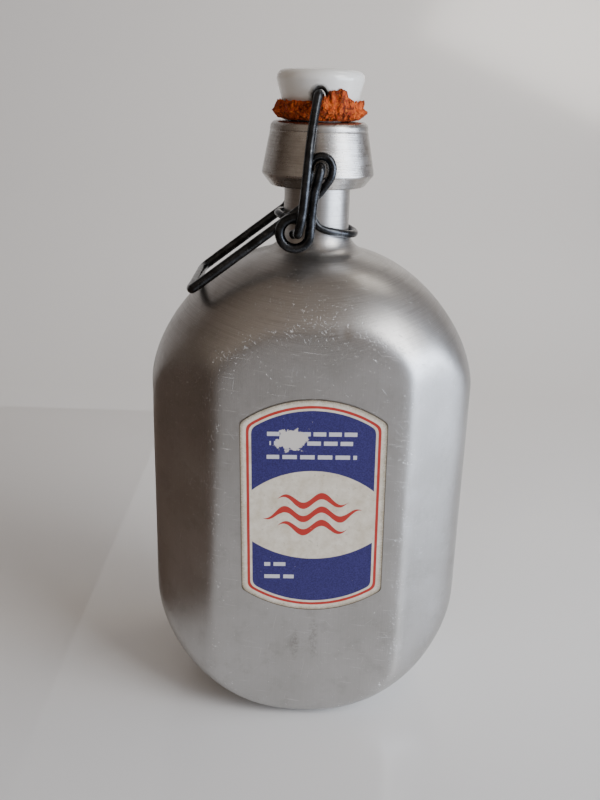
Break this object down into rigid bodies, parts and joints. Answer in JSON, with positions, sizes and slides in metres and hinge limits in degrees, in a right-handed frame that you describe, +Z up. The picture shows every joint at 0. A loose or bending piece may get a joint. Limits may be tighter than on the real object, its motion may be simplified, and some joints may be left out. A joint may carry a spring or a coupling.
{
  "type": "canteen",
  "caption": "Flat-sided aluminium field flask with a turned collar, a porcelain swing stopper on a rubber gasket, and a wire bail, lever and neck ring.",
  "frame": {"origin": "middle of the flask's base, on the axis of the neck", "axes": "+Z up along the neck, +X to the right seen from the label side, +Y from the label side to the back"},
  "size_m": [0.118, 0.0734, 0.235],
  "materials": {
    "flask_aluminium": "satin, scuffed, with fine scratches and small dents",
    "collar_aluminium": "turned, with fine tool rings",
    "label_paper": "printed blue, red and cream paper, aged and scuffed",
    "closure_wire": "drawn steel wire, darkened with age, semi-gloss",
    "stopper_porcelain": "glossy white glaze",
    "gasket_rubber": "perished orange rubber, matt and crumbling"
  },
  "bodies": {
    "flask": {"flask_body": "flask_aluminium", "neck_collar": "collar_aluminium", "paper_label": "label_paper"},
    "neck_ring": {"neck_wire": "closure_wire"},
    "lever": {"lever": "closure_wire"},
    "bail": {"bail": "closure_wire"},
    "stopper": {"stopper": "stopper_porcelain", "gasket": "gasket_rubber"}
  },
  "joints": [
    {"name": "ring_turn", "type": "hinge", "parent": "flask", "child": "neck_ring", "pos_m": [0, 0, 0.1837], "axis": [0, 0, 1], "continuous": true},
    {"name": "lever_swing", "type": "hinge", "parent": "neck_ring", "child": "lever", "pos_m": [0.0006, 0, 0.2044], "axis": [0, 1, 0], "range_deg": [0, 130]},
    {"name": "bail_swing", "type": "hinge", "parent": "lever", "child": "bail", "pos_m": [-0.0064, 0, 0.1832], "axis": [0, 1, 0], "range_deg": [-78, 0]},
    {"name": "stopper_tilt", "type": "hinge", "parent": "bail", "child": "stopper", "pos_m": [-0.0003, 0, 0.2263], "axis": [0, 1, 0], "range_deg": [-52, 0]}
  ],
  "couplings": [
    {"joint": "bail_swing", "follows": "lever_swing", "ratio": -0.6},
    {"joint": "stopper_tilt", "follows": "lever_swing", "ratio": -0.4}
  ]
}
